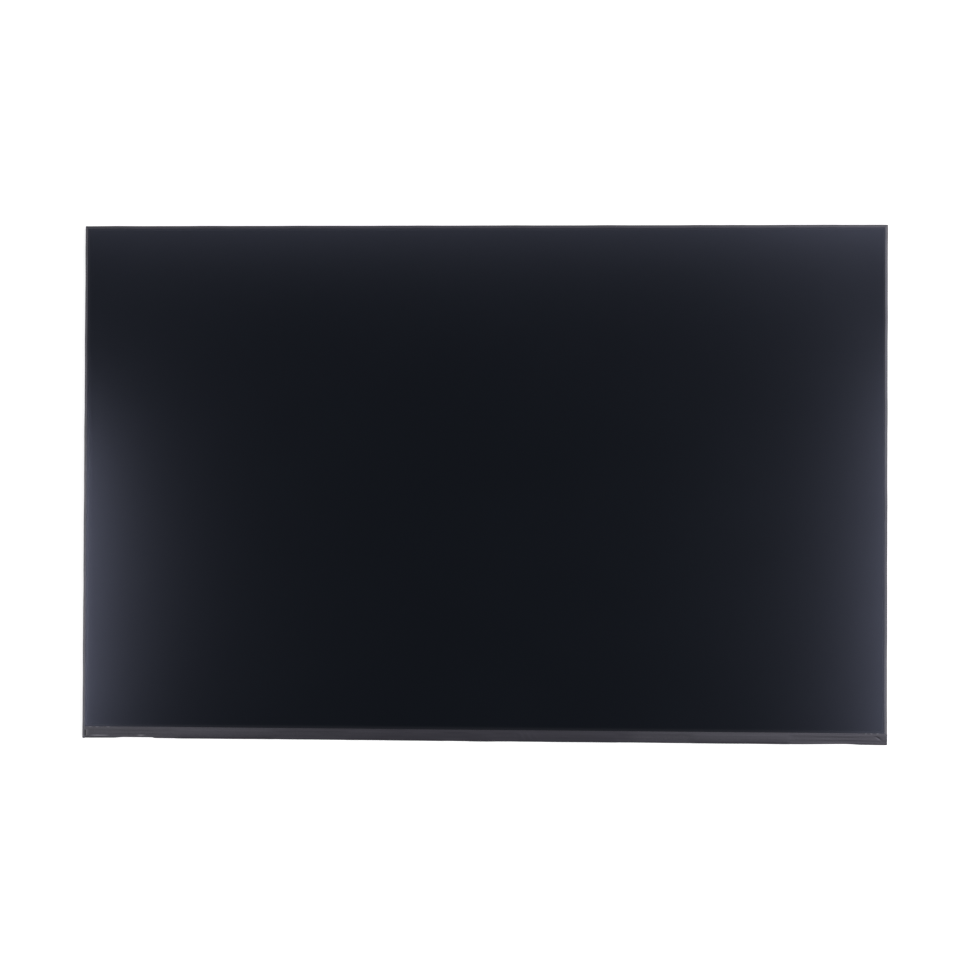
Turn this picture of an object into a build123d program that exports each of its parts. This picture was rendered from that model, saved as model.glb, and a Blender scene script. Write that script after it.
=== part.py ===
from build123d import *
from math import hypot, radians, tan
import os

# A bare 14-inch 16:10 laptop screen panel, lying on its back with the picture side up.
# +X is to the viewer's right, +Y is towards the top edge of the picture, +Z comes out of the picture.
# The origin is at the middle of the outline, level with the lowest face of the panel's back.
# All sizes are in millimetres.

# Picture and the borders round it, which together set the outline
picture_width = 301.6
picture_height = 188.5
side_border = 2.2
top_border = 2.3
bottom_border = 5.7

# Glass cell, from the viewer inwards
front_polariser_thickness = 0.18
front_polariser_inset = 1.1
colour_filter_thickness = 0.25
colour_filter_margin = 0.4
tft_thickness = 0.25
glass_inset = 0.25
glass_corner = 0.4
rear_polariser_thickness = 0.12
rear_polariser_inset = 0.9
rear_polariser_reach = 1.95
fold_room = 1.0

# Backlight sheets and light guide
upper_prism_thickness = 0.15
lower_prism_thickness = 0.13
diffuser_thickness = 0.12
guide_thickness = 0.45
reflector_thickness = 0.12
guide_reach = 1.55
film_reach = 0.8
film_gap = 0.15
sheet_ear_width = 9.0
sheet_ear_depth = 0.4
sheet_ear_spread = 96.0
guide_ear_width = 6.0
guide_ear_depth = 0.4
guide_ear_height = 40.0

# Light bar along the bottom edge
light_flex_thickness = 0.1
light_flex_setback = 0.65
light_tail_width = 8.0
light_tail_lap = 2.6
led_width = 3.0
led_depth = 0.85
led_height = 0.4
led_pitch = 7.4
led_gap = 0.05
led_window_width = 2.5
led_window_height = 0.26
led_window_depth = 0.3

# Moulded middle frame and the double-sided tape on its ledge
frame_rail = 0.8
frame_clearance = 0.05
guide_clearance = 0.1
snap_length = 7.0
snap_height = 0.25
snap_reach = 0.18
snap_pitch = 50.0
snap_window_play = 0.15
rim_tape_thickness = 0.1
rim_tape_overlap = 0.5

# Stamped rear shell
shell_thickness = 0.25
shell_bend = 0.12
shell_corner_gap = 1.8
plateau_rise = 0.3
plateau_margin = 9.0
plateau_bottom_margin = 18.0
plateau_corner = 6.0
plateau_slope = 45.0
bead_count = 2
bead_end_margin = 42.0
bead_width = 7.0
bead_depth = 0.2

# Black tapes round the edges
tape_thickness = 0.08
tape_gap = 0.1
edge_tape_back = 4.0
edge_tape_corner = 0.7
bottom_strip_height = 4.6
bottom_tape_left_inset = 1.0
bottom_tape_right_gap = 0.02
bottom_tape_step = 0.4
bottom_tape_lap = 1.4
bottom_tape_bend = 0.25

# Driver films folded round the bottom edge, with a chip on each
driver_film_count = 4
driver_film_width = 36.0
driver_film_thickness = 0.06
driver_film_bond = 1.8
driver_film_lap = 2.0
fold_clearance = 0.05
fold_radius = 0.55
driver_chip_length = 22.0
driver_chip_width = 1.2
driver_chip_thickness = 0.35
driver_chip_setback = 0.7

# Driver board behind the bottom edge
board_height = 10.0
board_thickness = 0.5
board_end_margin = 22.0
board_setback = 2.65
board_corner = 0.6
board_tape_thickness = 0.1
board_tape_inset = 0.5

# Parts soldered on the board
part_gap = 0.9
controller_from_middle = 15.0
controller_size = 6.0
controller_thickness = 0.9
memory_length = 3.0
memory_width = 2.0
memory_thickness = 0.75
converter_from_middle = 46.0
converter_size = 4.0
converter_thickness = 0.85
inductor_count = 2
inductor_size = 4.0
inductor_corner = 0.7
inductor_thickness = 1.0
capacitor_length = 1.6
capacitor_width = 0.8
capacitor_thickness = 0.8
capacitor_rows = 4
capacitor_row_pitch = 1.5

# Signal socket for the lid cable
socket_from_board_end = 60.0
socket_setback = 0.25
socket_width = 19.0
socket_depth = 4.0
socket_height = 1.0
socket_wall = 0.13
socket_mouth_depth = 2.8
socket_sheet = 0.12
socket_lug_length = 1.1
socket_lug_width = 1.3
socket_window = 1.6
contact_count = 30
contact_pitch = 0.5
contact_width = 0.22
contact_thickness = 0.15
contact_tail = 0.7
contact_front_gap = 0.5

# Formed insulating film over the board
cover_thickness = 0.1
cover_clearance = 0.05
cover_end_margin = 3.0
cover_slope_run = 1.6
cover_flange = 2.0
cover_above_board = 0.3
cover_notch_margin = 4.6
cover_notch_rear_gap = 0.8

# Outline, measured from its own middle
outline_width = picture_width + 2 * side_border
outline_height = picture_height + top_border + bottom_border
right = outline_width / 2
left = -right
top = outline_height / 2
bottom = -top
picture_bottom = bottom + bottom_border

# Heights, built up from the lowest face of the back to the picture side
fold_stack = max(driver_film_thickness, light_flex_thickness)
tallest_part = max(controller_thickness, memory_thickness, converter_thickness,
                   inductor_thickness, capacitor_thickness, socket_height)
board_rear_z = cover_thickness + cover_clearance + tallest_part
board_front_z = board_rear_z + board_thickness
shell_rear_z = board_front_z + board_tape_thickness
shell_front_z = shell_rear_z + shell_thickness
guide_z = shell_front_z + reflector_thickness
guide_top_z = guide_z + guide_thickness
lip_z = guide_top_z + light_flex_thickness
lower_prism_z = guide_top_z + diffuser_thickness
upper_prism_z = lower_prism_z + lower_prism_thickness
ledge_z = upper_prism_z + upper_prism_thickness
rim_top_z = ledge_z + rim_tape_thickness
tft_z = rim_top_z + rear_polariser_thickness
colour_filter_z = tft_z + tft_thickness
polariser_z = colour_filter_z + colour_filter_thickness
tape_back_z = board_rear_z - fold_stack

# Places in the plan, worked inwards from the outline
shell_right = right - tape_thickness
shell_top = top - tape_thickness
shell_bottom = bottom + fold_room
plateau_right = shell_right - plateau_margin
plateau_height = shell_top - shell_bottom - plateau_margin - plateau_bottom_margin
plateau_y = shell_top - plateau_margin - plateau_height / 2
frame_right = shell_right - shell_thickness - frame_clearance
frame_top = shell_top - shell_thickness - frame_clearance
frame_bottom = shell_bottom + shell_thickness + frame_clearance
cavity_right = frame_right - frame_rail
cavity_top = frame_top - frame_rail
guide_right = cavity_right - guide_clearance
guide_top = cavity_top - guide_clearance
guide_bottom = picture_bottom - guide_reach
film_bottom = picture_bottom - film_reach
roof_inner = film_bottom - film_gap
led_front = guide_bottom - led_gap
led_rear = led_front - led_depth
bar_inner = led_rear - guide_clearance
flex_bottom = frame_bottom + light_flex_setback
polariser_bottom = bottom + bottom_strip_height
colour_filter_bottom = polariser_bottom - colour_filter_margin
fold_y = bottom + tape_thickness + fold_clearance + fold_stack
board_bottom = shell_bottom + board_setback
board_top = board_bottom + board_height
board_right = right - board_end_margin
driver_film_end = board_bottom + driver_film_lap
parts_y = (driver_film_end + board_top) / 2
socket_x = -board_right + socket_from_board_end
socket_front = board_top - socket_setback
socket_rear = socket_front - socket_depth


def block(x0, x1, y0, y1, z0, z1):
    """A box between two corners."""
    return Pos((x0 + x1) / 2, (y0 + y1) / 2, (z0 + z1) / 2) * Box(x1 - x0, y1 - y0, z1 - z0)


def sheet(half_width, y0, y1, z0, thickness, corner=0.0):
    """A flat sheet centred on X, with rounded corners where a radius is given."""
    size = (2 * half_width, y1 - y0)
    outline = RectangleRounded(*size, corner) if corner else Rectangle(*size)
    return extrude(Pos(0, (y0 + y1) / 2, z0) * outline, thickness)


def ring(outer, inner, z0, z1):
    """A flat rectangular frame, each bound given as (half width, bottom, top)."""
    solid = block(-outer[0], outer[0], outer[1], outer[2], z0, z1)
    return solid - block(-inner[0], inner[0], inner[1], inner[2], z0, z1)


def folded_section(points, radii, thickness):
    """Section of a thin sheet whose inner face follows the points, rounded at its corners."""
    path = FilletPolyline(*points, radius=radii) if any(radii) else Polyline(*points)
    return make_face(offset(path, amount=thickness, side=Side.RIGHT, kind=Kind.ARC))


def along_x(section, x0, x1):
    """A section drawn in Y and Z, carried from x0 to x1."""
    return extrude(Plane.YZ.offset(x0) * section, x1 - x0)


def along_y(section, y0, y1):
    """A section drawn in X and Z, carried from y0 up to y1."""
    return extrude(Plane.XZ.offset(-y1) * section, y1 - y0)


def pitched(count, pitch):
    """Middles of a number of features at one pitch, about zero."""
    return [(i - (count - 1) / 2) * pitch for i in range(count)]


def shared(length, count):
    """Middles of a number of features that share a length evenly, about zero."""
    return pitched(count, length / count)


# Glass cell

def front_polariser():
    return sheet(right - front_polariser_inset, polariser_bottom, top - front_polariser_inset,
                 polariser_z, front_polariser_thickness, glass_corner)


def colour_filter_glass():
    return sheet(right - glass_inset, colour_filter_bottom, top - glass_inset,
                 colour_filter_z, colour_filter_thickness, glass_corner)


def tft_glass():
    """The glass with the pixel circuits: it reaches past the other glass to carry the driver films."""
    return sheet(right - glass_inset, shell_bottom, top - glass_inset, tft_z, tft_thickness, glass_corner)


def rear_polariser():
    return sheet(right - rear_polariser_inset, picture_bottom - rear_polariser_reach,
                 top - rear_polariser_inset, rim_top_z, rear_polariser_thickness, glass_corner)


# Backlight

def optical_sheet(z0, thickness):
    """A sheet with two ears on its top edge, which hang in notches of the frame."""
    solid = sheet(guide_right, film_bottom, guide_top, z0, thickness)
    for x in (-sheet_ear_spread, sheet_ear_spread):
        half = sheet_ear_width / 2
        solid += block(x - half, x + half, guide_top, guide_top + sheet_ear_depth, z0, z0 + thickness)
    return solid


def light_guide_plate():
    """A clear plate with an ear on each side, which keys it into the frame."""
    solid = sheet(guide_right, guide_bottom, guide_top, guide_z, guide_thickness)
    ear_right = guide_right + guide_ear_depth
    half = guide_ear_width / 2
    return solid + block(-ear_right, ear_right, guide_ear_height - half, guide_ear_height + half,
                         guide_z, guide_top_z)


def reflector_sheet():
    return sheet(guide_right, bar_inner, guide_top, shell_front_z, reflector_thickness)


def light_tail():
    """The light bar's tail, folded round the bottom edge and soldered to the board's rear face."""
    points = [(flex_bottom, guide_top_z), (fold_y, guide_top_z), (fold_y, board_rear_z),
              (board_bottom + light_tail_lap, board_rear_z)]
    section = folded_section(points, [fold_radius, fold_radius], light_flex_thickness)
    return along_x(section, -light_tail_width / 2, light_tail_width / 2)


def light_bar_flex():
    strip = sheet(guide_right, flex_bottom, roof_inner, guide_top_z, light_flex_thickness)
    return strip + light_tail()


def led_places():
    """Middles of as many lamps as the light guide's edge holds."""
    return pitched(int(2 * guide_right / led_pitch), led_pitch)


def led_windows():
    """The yellow glowing windows, each set flush in the front face of its lamp."""
    half = led_window_width / 2
    z0 = guide_top_z - (led_height + led_window_height) / 2
    return [block(x - half, x + half, led_front - led_window_depth, led_front, z0, z0 + led_window_height)
            for x in led_places()]


def led_housings():
    """Side-firing lamps under the flex, looking into the light guide's edge."""
    half = led_width / 2
    return [block(x - half, x + half, led_rear, led_front, guide_top_z - led_height, guide_top_z) - window
            for x, window in zip(led_places(), led_windows())]


# Middle frame and rear shell

def snap_places():
    """Middles of the snaps along the top wall, and along each side wall."""
    side_middle = (shell_top + shell_bottom) / 2
    top_wall = 2 * shell_right
    side_wall = shell_top - shell_bottom
    along_sides = [side_middle + y for y in shared(side_wall, round(side_wall / snap_pitch))]
    return shared(top_wall, round(top_wall / snap_pitch)), along_sides


def snap_blocks(play, reach):
    """Blocks of the snaps, grown by the play all round, reaching out from the frame's walls."""
    along_top, along_sides = snap_places()
    half = snap_length / 2 + play
    middle_z = (shell_front_z + guide_top_z) / 2
    z0 = middle_z - snap_height / 2 - play
    z1 = middle_z + snap_height / 2 + play
    blocks = [block(x - half, x + half, frame_top, frame_top + reach, z0, z1) for x in along_top]
    for y in along_sides:
        blocks.append(block(frame_right, frame_right + reach, y - half, y + half, z0, z1))
        blocks.append(block(-frame_right - reach, -frame_right, y - half, y + half, z0, z1))
    return blocks


def middle_frame():
    """A moulded rectangle that carries the glass on its ledge and holds the backlight together."""
    frame_bounds = (frame_right, frame_bottom, frame_top)
    solid = block(-frame_right, frame_right, frame_bottom, frame_top, shell_front_z, ledge_z)
    # Its lower edges are cut back to clear the round of the shell's folds
    solid = chamfer(solid.edges().group_by(Axis.Z)[0], shell_bend)
    solid -= block(-cavity_right, cavity_right, bar_inner, cavity_top, shell_front_z, ledge_z)
    solid += ring((shell_right, shell_bottom, shell_top), frame_bounds, lip_z, ledge_z)
    solid += block(-cavity_right, cavity_right, bar_inner, roof_inner, lip_z, ledge_z)
    # Slot that the light bar's flex lies in, and the slit that its tail leaves by
    solid -= block(-cavity_right, cavity_right, flex_bottom - guide_clearance, bar_inner, guide_top_z, lip_z)
    tail_half = light_tail_width / 2 + guide_clearance
    solid -= block(-tail_half, tail_half, frame_bottom, flex_bottom, guide_top_z, lip_z)
    # Notches for the ears of the optical sheets and of the light guide
    for x in (-sheet_ear_spread, sheet_ear_spread):
        half = sheet_ear_width / 2 + guide_clearance
        solid -= block(x - half, x + half, cavity_top, cavity_top + sheet_ear_depth, guide_top_z, ledge_z)
    notch_right = cavity_right + guide_ear_depth
    half = guide_ear_width / 2 + guide_clearance
    solid -= block(-notch_right, notch_right, guide_ear_height - half, guide_ear_height + half,
                   shell_front_z, guide_top_z)
    return solid + snap_blocks(0, snap_reach)


def rim_tape():
    """Double-sided tape on the frame's ledge, lapping onto the optical sheets."""
    outer = (frame_right, frame_bottom, frame_top)
    inner = (guide_right - rim_tape_overlap, film_bottom + rim_tape_overlap, guide_top - rim_tape_overlap)
    return ring(outer, inner, ledge_z, rim_top_z)


def tray(half_width, y0, y1, z0, z1, bend):
    """A block with its lower edges rounded, as a folded tray is."""
    solid = block(-half_width, half_width, y0, y1, z0, z1)
    return fillet(solid.edges().group_by(Axis.Z)[0], bend)


def plateau(inset, z0):
    """A stamped rise, sloping in all round."""
    size = (2 * (plateau_right - inset), plateau_height - 2 * inset)
    outline = RectangleRounded(*size, plateau_corner - inset)
    return extrude(Pos(0, plateau_y, z0) * outline, plateau_rise, dir=(0, 0, -1), taper=plateau_slope)


def beads(grow, z0):
    """Long stiffening grooves pressed into the plateau, one above the other."""
    outline = SlotOverall(2 * (plateau_right - bead_end_margin + grow), bead_width + 2 * grow)
    return [extrude(Pos(0, plateau_y + y, z0) * outline, bead_depth, taper=plateau_slope)
            for y in shared(plateau_height, bead_count)]


def rear_shell():
    """A shallow tray folded from thin sheet, with a raised plateau and windows for the frame's snaps."""
    inner_right = shell_right - shell_thickness
    inner_bottom = shell_bottom + shell_thickness
    inner_top = shell_top - shell_thickness
    outer_bend = shell_bend + shell_thickness
    solid = tray(shell_right, shell_bottom, shell_top, shell_rear_z, guide_top_z, outer_bend)
    solid -= tray(inner_right, inner_bottom, inner_top, shell_front_z, guide_top_z, shell_bend)
    # The walls stop short of each corner, where the flat blank is cut away
    for x in (-shell_right, shell_right):
        for y in (shell_bottom, shell_top):
            solid -= block(x - shell_corner_gap, x + shell_corner_gap, y - shell_corner_gap,
                           y + shell_corner_gap, shell_front_z, guide_top_z)
    solid -= snap_blocks(snap_window_play, shell_right - frame_right)
    # Shifting the inner face by this much keeps the sheet's thickness on the slopes
    shift = shell_thickness * tan(radians(plateau_slope / 2))
    solid = solid + plateau(0, shell_rear_z) - plateau(shift, shell_front_z)
    return solid + beads(shift, shell_front_z - plateau_rise) - beads(0, shell_rear_z - plateau_rise)


# Driver films, chips and board

def driver_film(x):
    """A film bonded to the glass ledge, folded round the edge and bonded to the board's rear face."""
    points = [(shell_bottom + driver_film_bond, colour_filter_z), (fold_y, colour_filter_z),
              (fold_y, board_rear_z), (driver_film_end, board_rear_z)]
    section = folded_section(points, [fold_radius, fold_radius], driver_film_thickness)
    return along_x(section, x - driver_film_width / 2, x + driver_film_width / 2)


def driver_chip(x):
    """The chip on the film's inner face, in the pocket between the shell's edge and the board."""
    y1 = board_bottom - driver_chip_setback
    half = driver_chip_length / 2
    return block(x - half, x + half, y1 - driver_chip_width, y1, board_rear_z,
                 board_rear_z + driver_chip_thickness)


def board():
    return sheet(board_right, board_bottom, board_top, board_rear_z, board_thickness, board_corner)


def board_tape():
    return sheet(board_right - board_tape_inset, board_bottom + board_tape_inset,
                 board_top - board_tape_inset, board_front_z, board_tape_thickness)


def soldered(x, y, length, width, thickness):
    """A part standing on the board's rear face."""
    return block(x - length / 2, x + length / 2, y - width / 2, y + width / 2,
                 board_rear_z - thickness, board_rear_z)


def timing_controller():
    return soldered(controller_from_middle, parts_y, controller_size, controller_size, controller_thickness)


def memory_chip():
    x = controller_from_middle - controller_size / 2 - 2 * part_gap - capacitor_length - memory_length / 2
    return soldered(x, parts_y, memory_length, memory_width, memory_thickness)


def power_converter():
    return soldered(converter_from_middle, parts_y, converter_size, converter_size, converter_thickness)


def inductor(index):
    """A shielded coil, square with its corners cut."""
    first = converter_from_middle + converter_size / 2 + 2 * part_gap + capacitor_length + inductor_size / 2
    x = first + index * (inductor_size + part_gap)
    solid = soldered(x, parts_y, inductor_size, inductor_size, inductor_thickness)
    return chamfer(solid.edges().filter_by(Axis.Z), inductor_corner)


def ceramic_capacitors():
    """Columns of small blocks on both sides of the controller, the power converter and the socket."""
    hosts = [(controller_from_middle, controller_size / 2), (converter_from_middle, converter_size / 2),
             (socket_x, socket_width / 2 + socket_lug_length)]
    columns = [x + side * (half + part_gap + capacitor_length / 2) for x, half in hosts for side in (-1, 1)]
    return [soldered(x, parts_y + y, capacitor_length, capacitor_width, capacitor_thickness)
            for x in columns for y in pitched(capacitor_rows, capacitor_row_pitch)]


# Signal socket

def socket_contacts():
    """Flat contacts along the mouth's floor, with their tails soldered behind the housing."""
    half = contact_width / 2
    return [block(socket_x + x - half, socket_x + x + half, socket_rear - contact_tail,
                  socket_front - contact_front_gap, board_rear_z - contact_thickness, board_rear_z)
            for x in pitched(contact_count, contact_pitch)]


def socket_housing():
    """A low moulded block with a wide mouth for the cable's plug."""
    half = socket_width / 2
    rear_z = board_rear_z - socket_height + socket_sheet
    mouth_half = (contact_count + 1) * contact_pitch / 2
    solid = block(socket_x - half, socket_x + half, socket_rear, socket_front, rear_z, board_rear_z)
    solid -= block(socket_x - mouth_half, socket_x + mouth_half, socket_front - socket_mouth_depth,
                   socket_front, rear_z + socket_wall, board_rear_z - contact_thickness)
    return solid - socket_contacts()


def socket_shell():
    """A pressed cover over the housing, with windows in it and lugs soldered to the board."""
    inner = socket_width / 2
    outer = inner + socket_sheet
    rear_z = board_rear_z - socket_height
    solid = block(socket_x - outer, socket_x + outer, socket_rear, socket_front, rear_z, board_rear_z)
    solid -= block(socket_x - inner, socket_x + inner, socket_rear, socket_front,
                   rear_z + socket_sheet, board_rear_z)
    middle_y = (socket_rear + socket_front) / 2
    for side in (-1, 1):
        lug = (outer + socket_lug_length / 2) * side
        solid += Pos(socket_x + lug, middle_y, board_rear_z - socket_sheet / 2) * Box(
            socket_lug_length, socket_lug_width, socket_sheet)
        window_x = socket_x + side * inner / 2
        solid -= Pos(window_x, middle_y, rear_z + socket_sheet / 2) * Box(
            2 * socket_window, socket_window, socket_sheet)
    return solid


# Insulating cover over the board

def hat_outlines(flat, runs, feet):
    """Outer and inner outlines of a hat section: a flat at zero height with a slope on each side.
    flat gives its two ends, runs how far each slope goes sideways, feet the height that it climbs to;
    where a foot stops below the shell, the section is left open from there up."""
    outer = []
    inner = []
    for end, run, foot, way in zip(flat, runs, feet, (-1, 1)):
        shift = cover_thickness * hypot(run, foot) / foot
        slope = run / foot
        outer.append([(end, 0), (end + way * run, foot)])
        inner.append([(end + way * (slope * cover_thickness - shift), cover_thickness),
                      (end + way * (run - shift), foot)])
        if foot < shell_rear_z:
            outer[-1].append((end + way * run, shell_rear_z))
            inner[-1] += [(end + way * run, foot), (end + way * run, shell_rear_z)]
    return [make_face(Polyline(*low, *reversed(high), close=True)) for low, high in (outer, inner)]


def board_cover_film():
    """A black film formed over the board's parts, stuck to the shell and to the bottom tape."""
    flange_z = tape_back_z - tape_thickness
    flat_y = (driver_film_end + cover_above_board, board_top - cover_above_board)
    flat_x = (-board_right - cover_end_margin, board_right + cover_end_margin)
    runs_y = (cover_slope_run * flange_z / shell_rear_z, cover_slope_run)
    runs_x = (cover_slope_run, cover_slope_run)
    outer_y, inner_y = hat_outlines(flat_y, runs_y, (flange_z, shell_rear_z))
    outer_x, inner_x = hat_outlines(flat_x, runs_x, (shell_rear_z, shell_rear_z))
    x0 = flat_x[0] - runs_x[0]
    x1 = flat_x[1] + runs_x[1]
    y0 = flat_y[0] - runs_y[0]
    y1 = flat_y[1] + runs_y[1]
    solid = along_x(outer_y, x0, x1) & along_y(outer_x, y0, y1)
    solid -= along_x(inner_y, x0, x1) & along_y(inner_x, y0, y1)
    # Flanges: on the shell above the board and at both ends, and on the bottom tape below it
    lap = cover_thickness
    shell_face = (shell_rear_z - cover_thickness, shell_rear_z)
    solid += block(x0 - cover_flange, x1 + cover_flange, y1 - lap, y1 + cover_flange, *shell_face)
    solid += block(x0 - cover_flange, x0 + lap, y0, y1, *shell_face)
    solid += block(x1 - lap, x1 + cover_flange, y0, y1, *shell_face)
    solid += block(x0, x1, y0 - cover_flange, y0 + lap, flange_z - cover_thickness, flange_z)
    # Notch that leaves the signal socket and its way in free
    half = socket_width / 2 + socket_lug_length + cover_notch_margin
    return solid - block(socket_x - half, socket_x + half, socket_rear - contact_tail - cover_notch_rear_gap,
                         y1 + cover_flange, 0, shell_rear_z)


# Tapes round the edges

def edge_section(edge):
    """Section of an edge tape, from under the shell, up the side and onto the glass with its lip.
    Its folds are as round as the room between the tape and the edge of the glass allows."""
    lip = edge - front_polariser_inset + tape_gap
    side = edge - tape_thickness
    bend = glass_inset - tape_thickness
    points = [(edge - edge_tape_back, shell_rear_z), (side, shell_rear_z),
              (side, polariser_z), (lip, polariser_z)]
    return folded_section(points, [bend, bend], tape_thickness)


def mitre(reach, along):
    """Prism over the part of the plan that belongs to a side tape, cut at 45 degrees at the top."""
    outline = Polyline((right, along), (right, top), (right - reach, top - reach), (right - reach, along),
                       close=True)
    return extrude(make_face(outline), polariser_z + tape_thickness)


def side_tape(along):
    """A side tape from a place along the edge up to the top corner."""
    return along_y(edge_section(right), along, top) & mitre(edge_tape_back + tape_gap, along)


def right_edge_tape():
    """The side tape; its front lip and fold stop where the bottom tape begins."""
    lip_end = polariser_bottom - tape_gap + bottom_tape_right_gap
    under_bottom_tape = block(right - front_polariser_inset, right - tape_thickness, shell_bottom, lip_end,
                              tft_z, polariser_z + tape_thickness)
    return side_tape(shell_bottom) - under_bottom_tape


def left_edge_tape():
    """The side tape; its lip and side run on past the glass to the panel's corner, which they round off."""
    rounded = sheet(right, bottom, top + edge_tape_corner, 0, polariser_z + tape_thickness, edge_tape_corner)
    under_corner = block(right - edge_tape_back, right - glass_inset, bottom, shell_bottom, 0, guide_z)
    return mirror((side_tape(bottom) & rounded) - under_corner, Plane.YZ)


def top_edge_tape():
    """The top tape, mitred to the side tapes at both corners."""
    solid = along_x(edge_section(top), left, right)
    reach = edge_tape_back + tape_gap
    outline = Polyline((left, top), (left + reach, top - reach), (right - reach, top - reach), (right, top),
                       close=True)
    return solid & extrude(make_face(outline), polariser_z + tape_thickness)


def bottom_tape():
    """The wide tape over the glass ledge, folded round the driver films and onto the board's back."""
    film_top_z = colour_filter_z + driver_film_thickness
    start = polariser_bottom - tape_gap
    step_top = colour_filter_bottom - tape_gap
    fold = bottom + tape_thickness
    points = [(start, polariser_z), (step_top, polariser_z), (step_top - bottom_tape_step, film_top_z),
              (fold, film_top_z), (fold, tape_back_z), (board_bottom + bottom_tape_lap, tape_back_z)]
    bend = fold_radius + fold_stack
    section = folded_section(points, [bottom_tape_bend, bottom_tape_bend, bend, bend], tape_thickness)
    return along_x(section, left + bottom_tape_left_inset, right - tape_thickness - bottom_tape_right_gap)


nodes = {
    "front_polariser": front_polariser(),
    "colour_filter_glass": colour_filter_glass(),
    "tft_glass": tft_glass(),
    "rear_polariser": rear_polariser(),
    "upper_prism_sheet": optical_sheet(upper_prism_z, upper_prism_thickness),
    "lower_prism_sheet": optical_sheet(lower_prism_z, lower_prism_thickness),
    "diffuser_sheet": optical_sheet(guide_top_z, diffuser_thickness),
    "light_guide_plate": light_guide_plate(),
    "reflector_sheet": reflector_sheet(),
    "light_bar_flex": light_bar_flex(),
    "led_housings": Compound(led_housings()),
    "led_windows": Compound(led_windows()),
    "middle_frame": middle_frame(),
    "rim_tape": rim_tape(),
    "rear_shell": rear_shell(),
    "board": board(),
    "board_tape": board_tape(),
    "timing_controller": timing_controller(),
    "memory_chip": memory_chip(),
    "power_converter": power_converter(),
    "ceramic_capacitors": Compound(ceramic_capacitors()),
    "socket_housing": socket_housing(),
    "socket_shell": socket_shell(),
    "socket_contacts": Compound(socket_contacts()),
    "board_cover_film": board_cover_film(),
    "top_edge_tape": top_edge_tape(),
    "left_edge_tape": left_edge_tape(),
    "right_edge_tape": right_edge_tape(),
    "bottom_tape": bottom_tape(),
}
for number, x in enumerate(shared(2 * board_right, driver_film_count), start=1):
    nodes[f"driver_film_{number}"] = driver_film(x)
    nodes[f"driver_chip_{number}"] = driver_chip(x)
for number in range(inductor_count):
    nodes[f"inductor_{number + 1}"] = inductor(number)

os.makedirs("parts", exist_ok=True)
for name, solid in nodes.items():
    export_step(solid, f"parts/{name}.step")
print(f"outline {outline_width:.1f} x {outline_height:.1f} mm, "
      f"{polariser_z + front_polariser_thickness:.2f} mm high, {len(nodes)} nodes")
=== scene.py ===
# %% [markdown]
# # A bare laptop screen panel
# The panel is a stack of glass, films and a light guide in a pressed metal back, with black tape folded
# round its edges. It lies on its back with the picture side up. Its solids come packed, one for each
# piece and each in its place, so nothing is fitted by eye: this lesson gives them their finishes, and
# makes the tapes and the film over the board once more as thin sheets that sag and crease as the real
# ones do.

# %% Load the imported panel
from math import ceil, pi, radians

import bpy
import numpy as np
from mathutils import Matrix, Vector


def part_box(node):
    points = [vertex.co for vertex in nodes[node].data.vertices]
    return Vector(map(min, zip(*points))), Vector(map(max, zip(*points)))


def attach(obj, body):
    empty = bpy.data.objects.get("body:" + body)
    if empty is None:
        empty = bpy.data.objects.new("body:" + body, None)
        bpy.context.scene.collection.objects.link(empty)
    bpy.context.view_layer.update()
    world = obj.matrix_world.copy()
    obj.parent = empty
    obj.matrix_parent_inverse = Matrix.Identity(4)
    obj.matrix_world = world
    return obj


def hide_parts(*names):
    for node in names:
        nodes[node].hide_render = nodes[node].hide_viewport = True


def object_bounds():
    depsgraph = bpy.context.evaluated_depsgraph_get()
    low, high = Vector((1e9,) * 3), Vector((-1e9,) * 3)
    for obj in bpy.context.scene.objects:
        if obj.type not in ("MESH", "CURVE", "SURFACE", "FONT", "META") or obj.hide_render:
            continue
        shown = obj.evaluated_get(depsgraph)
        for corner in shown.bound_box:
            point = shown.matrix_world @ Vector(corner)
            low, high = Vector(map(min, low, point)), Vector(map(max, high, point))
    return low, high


MM = 0.001

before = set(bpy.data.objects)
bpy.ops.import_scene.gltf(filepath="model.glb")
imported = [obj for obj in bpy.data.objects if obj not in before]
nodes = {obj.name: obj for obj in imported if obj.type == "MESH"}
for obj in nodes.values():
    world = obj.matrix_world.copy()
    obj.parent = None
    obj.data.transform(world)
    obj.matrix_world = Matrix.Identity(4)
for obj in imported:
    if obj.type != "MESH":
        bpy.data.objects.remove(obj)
cad_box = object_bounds()
scene = bpy.context.scene
panel_low, panel_high = np.array(cad_box) / MM
print(len(nodes), "pieces,", np.round(panel_high - panel_low, 2), "mm over all")


def box_mm(node):
    """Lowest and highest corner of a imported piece, in millimetres."""
    return np.array(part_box(node)) / MM


# %% [markdown]
# ## Camera
# The panel is seen squarely from the picture side, from a little right of its middle, so that its left
# side looks slightly shorter than its right. A long lens from 0.74 m does that: three small turns put all
# four corners where they belong, and no shift of the lens is needed.

# %% Camera
SENSOR_WIDTH = 36.0
LENS = 72.0
CAMERA_PLACE = (0.03257, -0.00850, 0.74059)
CAMERA_TURN = (0.618, 2.444, 0.25)

camera = bpy.data.objects.new("camera", bpy.data.cameras.new("camera"))
scene.collection.objects.link(camera)
camera.data.sensor_width = SENSOR_WIDTH
camera.data.lens = LENS
camera.location = CAMERA_PLACE
camera.rotation_euler = [radians(angle) for angle in CAMERA_TURN]
scene.camera = camera
scene.view_settings.view_transform = "Standard"
print("camera", round(camera.location.z, 2), "m above the floor")


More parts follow.
